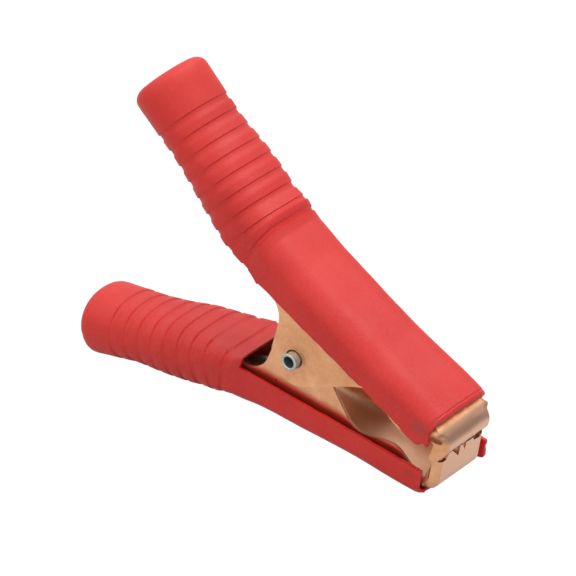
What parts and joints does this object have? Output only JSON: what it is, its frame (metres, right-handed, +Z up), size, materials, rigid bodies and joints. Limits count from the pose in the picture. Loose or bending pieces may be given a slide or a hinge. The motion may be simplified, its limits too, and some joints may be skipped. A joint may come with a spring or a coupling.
{
  "type": "alligator clip",
  "caption": "Sprung alligator clamp: toothed copper-plated jaws on a hollow rivet, with ribbed insulating grip boots, for battery or test leads.",
  "frame": {"origin": "on the ground, under the centre of the whole clamp's box", "axes": "+Z up, +X towards the nose, +Y along the pivot axis"},
  "size_m": [0.1642, 0.0356, 0.1257],
  "materials": {
    "copper_plate": "copper-plated stamped steel, satin, lightly stained",
    "red_pvc": "soft semi-matte red PVC",
    "zinc_plate": "bright zinc-plated steel",
    "spring_steel": "oiled spring wire"
  },
  "bodies": {
    "lower_half": {"lower_jaw": "copper_plate", "lower_grip_boot": "red_pvc", "pivot_rivet": "zinc_plate", "spring_sleeve": "zinc_plate", "torsion_spring": "spring_steel"},
    "upper_half": {"upper_jaw": "copper_plate", "upper_grip_boot": "red_pvc"}
  },
  "joints": [
    {"name": "jaw_pivot", "type": "hinge", "parent": "lower_half", "child": "upper_half", "pos_m": [0.01726, 0, 0.03521], "axis": [0, -1, 0], "range_deg": [0, 34], "stiffness_Nm_per_rad": 1.6, "springref_deg": -40.11, "deforming": ["torsion_spring"]}
  ]
}
